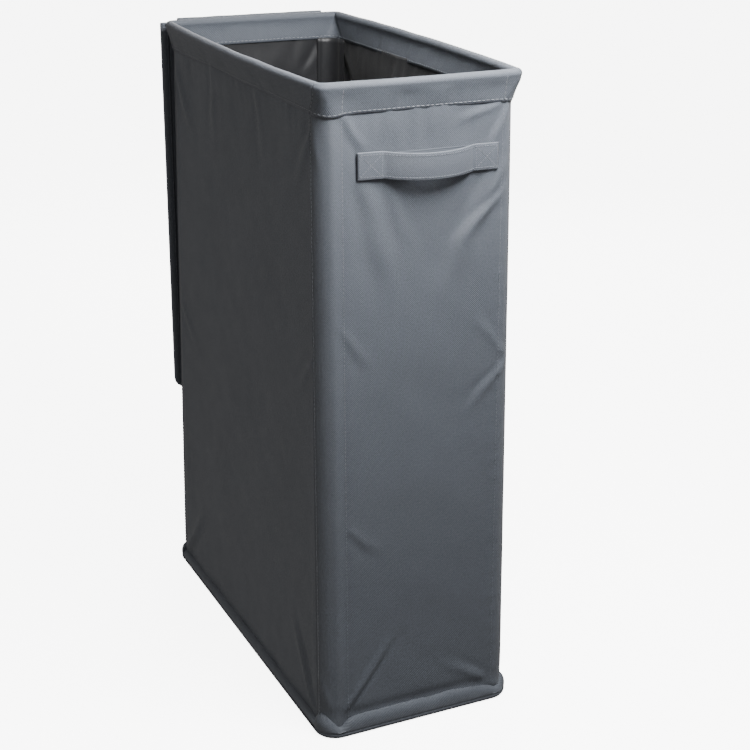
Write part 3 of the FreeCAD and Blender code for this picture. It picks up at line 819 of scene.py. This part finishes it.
@dataclass
class Hems:
    """The hems: cloth folded down over the rim wire and stitched, in four lengths."""

    form: BagForm
    finishes: Finishes
    walls: Walls

    def profile(self) -> list[tuple[float, float]]:
        """The hem's section, outside first: distance out from its middle and height, in metres."""
        casing, centre = self.form.casing / MM, self.form.rim.level / MM
        base = self.form.top_level / MM
        outer = [(1.0, base - 1.0), (1.35, base + 0.6), (1.7, base + 3), (2.0, base + 6.5),
                 (2.3, base + 10.5), (2.75, base + 14), (3.15, base + 16.2)]
        bead = []
        for degrees in (-30, -14, 2, 18, 36, 58, 80, 102, 124, 144, 162, 178, 194, 210):
            angle = math.radians(degrees)
            bead.append((casing * math.cos(angle), centre + casing * math.sin(angle)))
        inner = [(-out, up) for out, up in reversed(outer)]
        return [(out * MM, up * MM) for out, up in outer + bead + inner]

    def ring_at(self, out: float, up: float) -> Ring:
        """The ring that a point of the section follows."""
        share = min(max((up - self.form.top_level) / (16.2 * MM), 0.0), 1.0)
        middle = self.form.top.grown(-0.75 * MM).mixed(self.form.rim, share)
        return middle.grown(out, up)

    def shift(self, side: Side, along: float, out: float, up: float) -> tuple[float, float]:
        """How far a point of the hem moves outwards and up, in metres."""
        base = self.form.top_level
        band = 1 - smooth(base + 14 * MM, base + 17 * MM, up)
        seed = 40.0 + 5.0 * list(Side).index(side)
        wave = 0.5 * ripple(along / MM, up / MM * 0.7, 26, seed) + 0.28 * ripple(along / MM * 1.4, 0, 9, seed)
        outwards, rise = wave * band * (0.35 + 0.65 * smooth(base, base + 8 * MM, up)), 0.0
        if side.is_end and out > 0:
            lip = bump(along / MM, -81, 13) + 0.5 * bump(along / MM, 84, 9)
            low_edge = 1 - smooth(base, base + 7 * MM, up)
            outwards += 0.5 * lip * low_edge
            rise -= 2.6 * lip * low_edge
        rise += 0.25 * ripple(along / MM, 3, 40, seed + 2)
        return outwards * MM, rise * MM

    def length(self, side: Side) -> Object:
        """One length of hem."""
        section = self.profile()
        section.append(section[0])
        columns = columns_for(side, 60 if side.is_end else 100, 10)
        spots = [self.ring_at(out, up).spots(side, columns) for out, up in section]
        around = [0.0]
        for first, second in zip(section, section[1:]):
            around.append(around[-1] + math.dist(first, second))

        def put(column: int, row: int) -> Point:
            out, up = section[row]
            spot = spots[row][column]
            outwards, rise = self.shift(side, spot.along, out, up)
            place = spot.place + spot.out * outwards + Vector((0, 0, rise))
            crown = bump(up, self.form.height, 1.6 * MM)
            return Point(place, (spot.along, around[row]), 0.22 * crown)

        piece = cloth_grid(f"{side.label}_hem_fold", len(columns) - 1, len(section) - 1, put)
        close_tube(piece)
        return piece

    def stitch_run(self, side: Side, inside: bool) -> list[Spot]:
        """The stitch line near the hem's lower edge, outside or inside."""
        columns = columns_for(side, 60, 8)
        base = self.form.top_level
        out, up = (-1.5 * MM if inside else 1.5 * MM), base + 1.6 * MM
        run = []
        for spot in self.ring_at(out, up).spots(side, columns):
            outwards, rise = self.shift(side, spot.along, out, up)
            facing = -spot.out if inside else spot.out
            run.append(Spot(spot.place + spot.out * outwards + Vector((0, 0, rise)), facing, spot.along))
        return run

    def upright_run(self, side: Side, along: float) -> list[Spot]:
        """An upright seam carried on from the wall, up the hem's outside."""
        outer = self.profile()[1:9]
        run = []
        for (out, up), (next_out, next_up) in zip(outer, outer[1:]):
            for share in (0.0, 0.5):
                here, level = out + (next_out - out) * share, up + (next_up - up) * share
                ring = self.ring_at(here, level)
                spot = ring.spots(side, [self.walls.column(side, along, ring)])[0]
                outwards, rise = self.shift(side, spot.along, here, level)
                place = spot.place + spot.out * outwards + Vector((0, 0, rise))
                run.append(Spot(place, spot.out, spot.along))
        return run

    def make(self) -> None:
        """Fold and stitch all four."""
        runs = []
        for side in Side:
            piece = self.length(side)
            dress(piece, "hamper", "grey_fabric", self.finishes.cloth)
            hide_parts(f"{side.label}_hem")
            runs += [self.stitch_run(side, False), self.stitch_run(side, True)]
            if side.is_end:
                runs += [self.upright_run(side, along * MM) for along in sorted(SLEEVE_SEAMS + CORNER_SEAMS)]
        stitches = Thread(pitch=4.2 * MM, length=3.1 * MM, radius=0.34 * MM, sink=0.2 * MM)
        dress(stitches.sew("hem_stitching", runs), "hamper", "webbing", self.finishes.pale_thread)


@dataclass
class BaseRoll:
    """The padded-looking roll of cloth round the base wire, and the floor cloth inside it."""

    form: BagForm
    finishes: Finishes

    def top(self, side: Side, along: float) -> float:
        """The height of the roll's upper edge, in millimetres; along is in millimetres too."""
        if not side.is_end:
            return 12.5 + 1.2 * ripple(along, 0, 30, 9.0)
        swell = 18.5 - 3.5 * smooth(40, 92, abs(along + 8)) + 1.2 * ripple(along, 0, 22, 11.0)
        swell -= 5.5 * bump(along, -77, 5.5) - 6.5 * bump(along, -95, 9)
        return swell - 3.0 * bump(along, 80, 6) + 3.0 * bump(along, 95, 7)

    def section(self, top: float) -> list[tuple[float, float]]:
        """The roll's section for a given height, in millimetres out from the wall and up."""
        fixed = [(-4.6, 1.1), (-2.6, 0.3), (1.5, 0.1), (3.0, 0.8), (3.85, 2.2), (4.1, 3.9), (3.95, 4.8),
                 (3.5, 5.3), (3.95, 5.9), (4.1, 6.9)]
        crown = [(4.1, 0.50), (3.75, 0.64), (2.9, 0.78), (1.6, 0.89), (0.2, 0.96), (-1.2, 1.0), (-2.3, 0.92)]
        tail = [(-3.2, 7.6), (-4.5, 6.2), (-5.1, 4.2), (-5.2, 2.4)]
        return fixed + [(out, share * top) for out, share in crown] + tail

    def length(self, side: Side) -> Object:
        """One length of the roll."""
        columns = columns_for(side, 70 if side.is_end else 90, 12)
        plain = self.form.foot.spots(side, columns)
        around = len(self.section(15.0))
        rows = {}
        for column, spot in enumerate(plain):
            section = self.section(self.top(side, spot.along / MM))
            rows[column] = section + [section[0]]
        flats = [0.0]
        for first, second in zip(rows[0], rows[0][1:]):
            flats.append(flats[-1] + math.dist(first, second) * MM)
        grown = {out: self.form.foot.grown(out * MM).spots(side, columns)
                 for column in rows for out, _ in rows[column]}

        def put(column: int, row: int) -> Point:
            out, up = rows[column][row]
            spot = grown[out][column]
            puff = 0.5 * ripple(spot.along / MM, up, 17, 21.0) * smooth(5.5, 9, up) * (out > 0)
            knot = 1.4 * bump(spot.along / MM, -77, 4.5) * smooth(6, 10, up) if side.is_end else 0.0
            place = spot.place + spot.out * (puff - knot) * MM
            place.z = up * MM
            return Point(place, (spot.along, flats[row]), 0.2 * bump(up, 8, 3) * (out > 0))

        piece = cloth_grid(f"{side.label}_roll_cloth", len(columns) - 1, around, put)
        close_tube(piece)
        return piece

    def make(self) -> None:
        """Roll all four lengths and lay the floor cloth."""
        for side in Side:
            piece = self.length(side)
            dress(piece, "hamper", "grey_fabric", self.finishes.cloth)
            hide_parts(f"{side.label}_base_roll")
        low, high = (Vector(corner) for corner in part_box("floor_panel"))
        floor = plate("floor_cloth", low, high, "Z", 7 * MM, 0.6 * MM)
        dress(floor, "hamper", "dark_lining", self.finishes.lining)
        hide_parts("floor_panel")
        inset, level = 7 * MM, low.z + 0.1 * MM
        edge = Ring(high.x - inset, high.y - inset, 6 * MM, level)
        runs = []
        for side in Side:
            spots = edge.spots(side, columns_for(side, 30, 6))
            runs.append([Spot(spot.place, Vector((0, 0, -1)), 0.0) for spot in spots])
        stitches = Thread(pitch=4.2 * MM, length=3.2 * MM, radius=0.25 * MM, sink=-0.12 * MM)
        dress(stitches.sew("floor_stitching", runs), "hamper", "webbing", self.finishes.thread)


@dataclass
class CornerSleeves:
    """The inner sleeves that hold the arched stays, one in each corner."""

    form: BagForm
    finishes: Finishes
    reach: float = 6.0 * MM
    deep: float = 3.9 * MM
    shallow: float = 1.55 * MM
    thickness: float = 0.8 * MM

    def sleeve(self, side: Side, hand: int) -> Object:
        """The sleeve at one end of a narrow face; hand is -1 for its left end and 1 for its right."""
        label = {(Side.FRONT, -1): "front_left", (Side.FRONT, 1): "front_right",
                 (Side.BACK, -1): "back_right", (Side.BACK, 1): "back_left"}[side, hand]
        count, rows = 22, 120
        low, high = self.form.foot_level, self.form.top_level

        def put(column: int, row: int) -> Point:
            level = low + (high - low) * row / rows
            share = column / count
            edge = min(share, 1 - share)
            inset = self.shallow + (self.deep - self.shallow) * smooth(0.02, 0.17, edge)
            ring = self.form.wall(level).grown(-inset)
            arc = ring.corner * math.pi / 2
            total = arc + 2 * self.reach
            run = share * total
            centre = ring.half_x - ring.corner
            inner = run - self.reach if hand > 0 else total - run - self.reach
            if inner < 0:
                column_at = (0, ((centre + inner) * hand / centre + 1) / 2)
                spot = ring.spots(side, [column_at])[0]
            elif inner <= arc:
                turned = inner / arc
                spot = ring.spots(side, [(hand, turned if hand > 0 else 1 - turned)])[0]
            else:
                spot = ring.spots(side, [(hand, 1.0 if hand > 0 else 0.0)])[0]
                back = side.turn @ Vector((0, inner - arc, 0))
                spot = Spot(spot.place + back, spot.out, spot.along)
            wave = 0.25 * MM * ripple(run / MM * 2, level / MM, 30, 60.0 + hand)
            return Point(spot.place - spot.out * max(wave, 0), (run, level), 0.0)

        piece = cloth_grid(f"{label}_sleeve_cloth", count, rows, put)
        apply_modifier(piece, "SOLIDIFY", thickness=self.thickness, offset=-1.0)
        dress(piece, "hamper", "dark_lining", self.finishes.lining)
        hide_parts(f"{label}_sleeve")
        return piece

    def make(self) -> None:
        """Sew all four."""
        for side in (Side.FRONT, Side.BACK):
            for hand in (-1, 1):
                self.sleeve(side, hand)


# ------------------------------------------------------------------------------------------------ straps


@dataclass
class Straps:
    """The two carrying straps, each stitched down at both ends with a crossed box."""

    form: BagForm
    finishes: Finishes
    patch: float = 23.0 * MM
    bow: float = 10.0 * MM
    sag: float = 2.2 * MM
    thickness: float = 2.0 * MM

    def line(self, side: Side, along: float) -> tuple[Vector, Vector, Vector]:
        """The strap's back face at a distance along it.

        Args:
            side: the narrow face.
            along: metres from the strap's middle, to the right as seen from outside.

        Returns:
            The place at half its height, the way out, and the way up.
        """
        low, high = (Vector(corner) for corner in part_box(f"{side.label}_handle"))
        turned = 1 if side is Side.FRONT else -1
        middle_x, half = (low.x + high.x) / 2, (high.x - low.x) / 2
        slope = (self.form.foot.half_y - self.form.top.half_y) / (self.form.top_level - self.form.foot_level)
        up = Vector((0, turned * slope, 1)).normalized()
        out = Vector((0, -turned, slope)).normalized()
        level = (low.z + high.z) / 2
        face = self.form.wall(level).half_y
        free = half - self.patch
        share = min(abs(along) / free, 1.0)
        lift = self.bow * (1 - share**2) if share < 1 else 0.0
        ease = smooth(0.78, 1.0, share) * 0.35 * MM
        drop = self.sag * (1 - share**2) ** 0.8 if share < 1 else 0.0
        tilt = 2.0 * MM * along / half
        place = Vector((middle_x + turned * along, -turned * face, level))
        return place + out * max(lift - ease, 0.12 * MM) - up * drop - up * tilt * 0.5, out, up

    def strap(self, side: Side) -> Object:
        """One strap: a folded band that thins where its ends are turned in."""
        low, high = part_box(f"{side.label}_handle")
        half, tall = (high[0] - low[0]) / 2, 22.0 * MM
        rows, corner = 110, 0.8 * MM
        section = []
        for number in range(28):
            angle = 2 * math.pi * number / 28
            wide = math.copysign(abs(math.cos(angle)) ** 0.22, math.cos(angle))
            deep = math.copysign(abs(math.sin(angle)) ** 0.55, math.sin(angle))
            section.append((wide * tall / 2, (deep + 1) / 2))
        section.append(section[0])

        def put(column: int, row: int) -> Point:
            along = -half + 2 * half * row / rows
            place, out, up = self.line(side, along)
            rise, depth = section[column]
            end = smooth(0, 1.6 * MM, half - abs(along))
            rise *= 1 - 0.04 * (1 - end)
            thick = self.thickness * (0.25 + 0.75 * end)
            hem = 0.18 * MM * bump(abs(rise), tall / 2 - 2.2 * MM, 0.8 * MM) if depth > 0.5 else 0.0
            flat_end = smooth(half - self.patch - 4 * MM, half - self.patch + 2 * MM, abs(along))
            quilt = 0.25 * MM * ripple(along / MM, rise / MM, 6, 70.0) * flat_end * (depth > 0.5)
            cup = 0.5 * MM * (1 - flat_end) * (rise / tall * 2) ** 2
            spot = place + up * rise + out * (depth * thick - hem + quilt - cup * 0.6)
            return Point(spot, (along, rise + depth * thick), 0.35 * bump(abs(rise), tall / 2, 0.9 * MM))

        piece = cloth_grid(f"{side.label}_strap", len(section) - 1, rows, put)
        close_tube(piece)
        dress(piece, "hamper", "webbing", self.finishes.webbing)
        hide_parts(f"{side.label}_handle")
        return piece

    def stitch_runs(self, side: Side) -> list[list[Spot]]:
        """The crossed boxes on both patches and the line along each edge."""
        low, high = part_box(f"{side.label}_handle")
        half, edge = (high[0] - low[0]) / 2, 8.7 * MM

        def spot(along: float, rise: float) -> Spot:
            place, out, up = self.line(side, along)
            return Spot(place + up * rise + out * (self.thickness + 0.05 * MM), out, along)

        def run(start: tuple[float, float], end: tuple[float, float], steps: int = 24) -> list[Spot]:
            shares = [number / steps for number in range(steps + 1)]
            return [spot(start[0] + (end[0] - start[0]) * share, start[1] + (end[1] - start[1]) * share)
                    for share in shares]

        runs = [run((-half + 2 * MM, rise), (half - 2 * MM, rise), 80) for rise in (edge, -edge)]
        for hand in (-1, 1):
            outer, inner = hand * (half - 2 * MM), hand * (half - self.patch + 1.5 * MM)
            runs += [run((outer, -edge), (outer, edge)), run((inner, -edge), (inner, edge))]
            runs += [run((outer, -edge), (inner, edge)), run((outer, edge), (inner, -edge))]
        return runs

    def make(self) -> None:
        """Sew both straps on."""
        runs = []
        for side in (Side.FRONT, Side.BACK):
            self.strap(side)
            runs += self.stitch_runs(side)
        stitches = Thread(pitch=2.7 * MM, length=2.1 * MM, radius=0.27 * MM).sew("strap_stitching", runs)
        dress(stitches, "hamper", "webbing", self.finishes.thread)


# ------------------------------------------------------------------------------------- board and lid


@dataclass
class BaseBoard:
    """The loose cloth-covered board on the floor, with the tab that lifts it."""

    finishes: Finishes

    def make(self) -> None:
        """Cover the board, stitch round its edge and sew on the tab."""
        low, high = Vector(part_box("base_board_underside")[0]), Vector(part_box("base_board_cover")[1])
        middle = (low.z + high.z) / 2
        for name, node, bottom, top in (
                ("board_top_cloth", "base_board_cover", middle + 1.5 * MM, high.z),
                ("board_under_cloth", "base_board_underside", low.z, middle - 1.5 * MM)):
            cloth = plate(name, Vector((low.x, low.y, bottom)), Vector((high.x, high.y, top)), "Z", 8 * MM,
                          0.45 * MM)
            dress(cloth, "base_board", "dark_lining", self.finishes.lining)
            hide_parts(node)
        runs = []
        for inset in (4 * MM, 7 * MM):
            edge = Ring(high.x - inset, high.y - inset, 6 * MM, high.z)
            for side in Side:
                spots = edge.spots(side, columns_for(side, 30, 6))
                runs.append([Spot(spot.place, Vector((0, 0, 1)), 0.0) for spot in spots])
        stitches = Thread(pitch=4 * MM, length=3 * MM, radius=0.25 * MM).sew("board_stitching", runs)
        dress(stitches, "base_board", "webbing", self.finishes.thread)
        tab_low, tab_high = (Vector(corner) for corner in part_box("base_board_tab"))
        tab = plate("board_tab_cloth", tab_low, tab_high, "Z", 3 * MM, 0.4 * MM)
        dress(tab, "base_board", "webbing", self.finishes.webbing)
        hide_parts("base_board_tab")


@dataclass
class Lid:
    """The lid as it hangs: two cloth faces on a board, a bound edge, a pull tab and the hinge tape."""

    form: BagForm
    finishes: Finishes
    binding_width: float = 8.0 * MM
    corner: float = 12.0 * MM
    near_corner: float = 1.5 * MM

    def outline(self, inset: float) -> list[tuple[Vector, Vector]]:
        """The lid's edge, anticlockwise from behind, with the way out of the lid at each place."""
        low, high = (Vector(corner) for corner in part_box("lid_edge_binding"))
        left, right = low.x + inset, high.x - inset
        bottom, top = low.z + inset, high.z - inset
        bend = self.corner - inset
        points = []
        near = self.near_corner
        corners = (((right - near, top - near), near, 0), ((left + near, top - near), near, 90),
                   ((left + bend, bottom + bend), bend, 180), ((right - bend, bottom + bend), bend, 270))
        for (x, z), radius, start in corners:
            for number in range(9):
                angle = math.radians(start + number * 90 / 8)
                out = Vector((math.cos(angle), 0, math.sin(angle)))
                points.append((Vector((x, 0, z)) + out * radius, out))
        return points

    def spread(self, points: list[tuple[Vector, Vector]], step: float) -> list[tuple[Vector, Vector]]:
        """The same closed outline with more places along its straight stretches."""
        found = []
        for (first, out), (second, next_out) in zip(points, points[1:] + points[:1]):
            count = max(round((second - first).length / step), 1)
            for number in range(count):
                share = number / count
                found.append((first.lerp(second, share), out.lerp(next_out, share).normalized()))
        return found

    def binding(self) -> Object:
        """The folded band round the lid's edge."""
        low, high = (Vector(corner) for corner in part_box("lid_edge_binding"))
        middle_y, half = (low.y + high.y) / 2, (high.y - low.y) / 2
        path = self.spread(self.outline(0.0), 5 * MM)
        path.append(path[0])
        inner = self.binding_width
        near_face = [(-inner, half - 0.5 * MM), (-inner + 0.7 * MM, half - 0.05 * MM), (-4 * MM, half),
                     (-1.4 * MM, half - 0.15 * MM), (-0.35 * MM, half - 0.9 * MM)]
        far_face = [(reach, -depth) for reach, depth in reversed(near_face)]
        section = near_face + [(0, 0)] + far_face
        section.append(section[0])
        run = [0.0]
        for (first, _), (second, _) in zip(path, path[1:]):
            run.append(run[-1] + (second - first).length)

        def put(column: int, row: int) -> Point:
            place, out = path[row]
            reach, depth = section[column]
            wave = 0.12 * MM * ripple(run[row] / MM, column * 4.0, 9, 80.0)
            spot = place + out * (reach - abs(wave) * (reach > -1 * MM))
            spot.y = middle_y + depth * (1 - 0.03 * abs(wave) / MM)
            return Point(spot, (run[row], reach + depth), 0.35 * bump(reach, 0, 1 * MM))

        piece = cloth_grid("lid_binding", len(section) - 1, len(path) - 1, put)
        close_tube(piece)
        dress(piece, "lid", "webbing", self.finishes.webbing)
        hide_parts("lid_edge_binding")
        return piece

    def faces(self) -> None:
        """The two cloth faces of the lid."""
        for name, node in (("lid_top_cloth", "lid_top_cover"), ("lid_under_cloth", "lid_lining")):
            low, high = (Vector(corner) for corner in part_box(node))
            cloth = plate(name, low, high, "Y", 11.4 * MM, 0.35 * MM)
            dress(cloth, "lid", "grey_fabric", self.finishes.cloth)
            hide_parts(node)

    def stitching(self) -> None:
        """The stitch line on both sides of the binding."""
        low, high = (Vector(corner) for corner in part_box("lid_edge_binding"))
        runs = []
        for face, out in ((high.y, Vector((0, 1, 0))), (low.y, Vector((0, -1, 0)))):
            points = self.outline(self.binding_width - 1.8 * MM)
            points.append(points[0])
            runs.append([Spot(Vector((point.x, face, point.z)), out, 0.0) for point, _ in points])
        stitches = Thread(pitch=3.4 * MM, length=2.6 * MM, radius=0.27 * MM).sew("lid_stitching", runs)
        dress(stitches, "lid", "webbing", self.finishes.thread)

    def tab(self) -> Object:
        """The pull tab: a short loop of strap."""
        low, high = (Vector(corner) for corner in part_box("lid_tab"))
        middle_x, middle_y = (low.x + high.x) / 2, (low.y + high.y) / 2
        half, gap = (high.x - low.x) / 2, (high.y - low.y) / 2
        steps, wide = 40, 12

        def put(column: int, row: int) -> Point:
            share = row / steps
            angle = math.pi * share
            drop = math.sin(angle) ** 0.35
            reach = math.copysign(abs(math.cos(angle)) ** 0.6, math.cos(angle)) * (gap - 0.45 * MM)
            x = middle_x - half + 2 * half * column / wide
            z = high.z + 2 * MM - (high.z + 2 * MM - low.z - 0.4 * MM) * drop
            return Point(Vector((x, middle_y + reach, z)), (x, share * 50 * MM), 0.3 * bump(z, low.z, 2 * MM))

        piece = cloth_grid("lid_pull_tab", wide, steps, put)
        apply_modifier(piece, "SOLIDIFY", thickness=0.8 * MM, offset=0.0)
        dress(piece, "lid", "webbing", self.finishes.webbing)
        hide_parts("lid_tab")
        return piece

    def tape(self) -> Object:
        """The hinge tape, from the back hem over to the lid's near face."""
        hem_low, hem_high = (Vector(corner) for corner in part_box("hinge_tape_rim_half"))
        lid_low, lid_high = (Vector(corner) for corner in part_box("hinge_tape_lid_half"))
        half = hem_high.x
        route = [(hem_low.y + 0.7 * MM, hem_low.z), (hem_high.y - 0.6 * MM, hem_high.z),
                 (hem_high.y + 1.6 * MM, hem_high.z + 4.2 * MM),
                 (lid_low.y - 1.5 * MM, hem_high.z + 5.8 * MM),
                 (lid_high.y - 0.3 * MM, lid_high.z + 1.4 * MM),
                 (lid_low.y + 0.35 * MM, lid_high.z - 1.5 * MM),
                 (lid_low.y + 0.35 * MM, lid_low.z)]
        dense = self.curve(route, 8)
        rows, wide = len(dense) - 1, 60
        run = [0.0]
        for first, second in zip(dense, dense[1:]):
            run.append(run[-1] + math.dist(first, second))

        def put(column: int, row: int) -> Point:
            x = -half + 2 * half * column / wide
            y, z = dense[row]
            wave = 0.2 * MM * ripple(x / MM, row, 14, 90.0)
            return Point(Vector((x, y, z + wave)), (x, run[row]), 0.25 * bump(row, rows / 2, rows / 8))

        piece = cloth_grid("hinge_tape", wide, rows, put)
        apply_modifier(piece, "SOLIDIFY", thickness=0.7 * MM, offset=0.0)
        piece.data.materials.append(self.finishes.webbing)
        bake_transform(piece)
        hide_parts("hinge_tape_rim_half", "hinge_tape_lid_half")
        log.info("%s: bends between hamper and lid", piece.name)
        return piece

    @staticmethod
    def curve(route: Sequence[tuple[float, float]], steps: int) -> list[tuple[float, float]]:
        """A smooth line through the route's places."""
        found = []
        ends = [route[0], *route, route[-1]]
        for before, start, stop, after in zip(ends, ends[1:], ends[2:], ends[3:]):
            for number in range(steps):
                t = number / steps
                weights = (-0.5 * t + t * t - 0.5 * t**3, 1 - 2.5 * t * t + 1.5 * t**3,
                           0.5 * t + 2 * t * t - 1.5 * t**3, -0.5 * t * t + 0.5 * t**3)
                near = (before, start, stop, after)
                found.append(tuple(sum(w * p[axis] for w, p in zip(weights, near)) for axis in (0, 1)))
        return found + [route[-1]]

    def make(self) -> None:
        """Make the lid's pieces."""
        self.faces()
        self.binding()
        self.stitching()
        self.tab()
        self.tape()


# ----------------------------------------------------------------------------------------------- studio


@dataclass(frozen=True)
class Studio:
    """A pale floor, soft lights and the camera."""

    eye: tuple[float, float, float] = (-0.55305, -1.25740, 0.78677)
    right: tuple[float, float, float] = (0.9036, -0.4282, 0.0079)
    up: tuple[float, float, float] = (0.1461, 0.3255, 0.9342)
    lens: float = 74.24

    def floor(self) -> None:
        """A wide pale floor with a faint uneven tone."""
        deselect()
        bpy.ops.mesh.primitive_plane_add(size=300)
        floor = bpy.context.object
        floor.name = "studio_floor"
        nodes = Nodes("studio_paper")
        where = nodes.add("ShaderNodeTexCoord").outputs["Object"]
        tone = nodes.noise(where, 2.0, 2.0)
        paper = nodes.mix(tone, (0.86, 0.86, 0.86, 1), (0.9, 0.9, 0.9, 1))
        nodes.feed(nodes.shader.inputs["Base Color"], paper)
        nodes.shader.inputs["Roughness"].default_value = 0.9
        nodes.shader.inputs["Emission Color"].default_value = (1, 1, 1, 1)
        nodes.shader.inputs["Emission Strength"].default_value = 7.0
        floor.data.materials.append(nodes.material)
        floor.visible_diffuse = floor.visible_glossy = False

    def light(self, name: str, place: tuple, target: tuple, size: float, power: float) -> None:
        """A soft square light aimed at a place."""
        deselect()
        bpy.ops.object.light_add(type="AREA", location=place)
        lamp = bpy.context.object
        lamp.name = name
        lamp.data.size = size
        lamp.data.energy = power
        lamp.rotation_euler = (Vector(target) - Vector(place)).to_track_quat("-Z", "Y").to_euler()

    def camera(self) -> None:
        """The camera, looking down at the front left corner."""
        data = bpy.data.cameras.new("view")
        camera = bpy.data.objects.new("view", data)
        bpy.context.scene.collection.objects.link(camera)
        right, up = Vector(self.right).normalized(), Vector(self.up).normalized()
        back = right.cross(up)
        turn = Matrix((right, up, back)).transposed().to_4x4()
        camera.matrix_world = Matrix.Translation(self.eye) @ turn
        data.lens, data.sensor_width = self.lens, 36.0
        bpy.context.scene.camera = camera

    def make(self) -> None:
        """Set up the floor, the lights, the sky and the camera."""
        self.camera()
        self.floor()
        self.light("key", (0.07, -0.40, 0.92), (0.0, -0.18, 0.56), 0.3, 15.6)
        self.light("top", (-0.1, 0.1, 1.7), (0.0, 0.0, 0.5), 0.9, 3.0)
        self.light("back", (0.75, 1.25, 0.95), (0.05, 0.15, 0.35), 0.9, 16.0)
        world = bpy.data.worlds.new("studio_air")
        bpy.context.scene.world = world
        world.use_nodes = True
        sky = world.node_tree.nodes["Background"]
        sky.inputs["Color"].default_value = (1.0, 0.97, 0.94, 1)
        sky.inputs["Strength"].default_value = 0.4


def dress_hidden(finishes: Finishes) -> None:
    """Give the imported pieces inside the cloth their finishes."""
    stocks = {"rim_wire": finishes.wire, "rim_ferrule": finishes.wire, "base_wire": finishes.wire,
              "base_ferrule": finishes.wire, "base_board_core": finishes.board, "lid_board": finishes.board}
    for corner in ("front_left", "front_right", "back_right", "back_left"):
        stocks[f"{corner}_stay"] = finishes.strip
    for node, finish in stocks.items():
        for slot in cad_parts[node].material_slots:
            slot.material = finish
        log.info("%s: packed piece, new finish", node)


def main() -> None:
    """Build the hamper, piece by piece, and the studio round it."""
    logging.basicConfig(level=logging.INFO, format="%(message)s")
    Studio().make()
    finishes = Finishes()
    form = BagForm()
    walls = Walls(form, finishes)
    walls.make()
    Hems(form, finishes, walls).make()
    BaseRoll(form, finishes).make()
    CornerSleeves(form, finishes).make()
    Straps(form, finishes).make()
    BaseBoard(finishes).make()
    Lid(form, finishes).make()
    dress_hidden(finishes)
    bpy.context.view_layer.update()


if __name__ == "__main__":
    main()
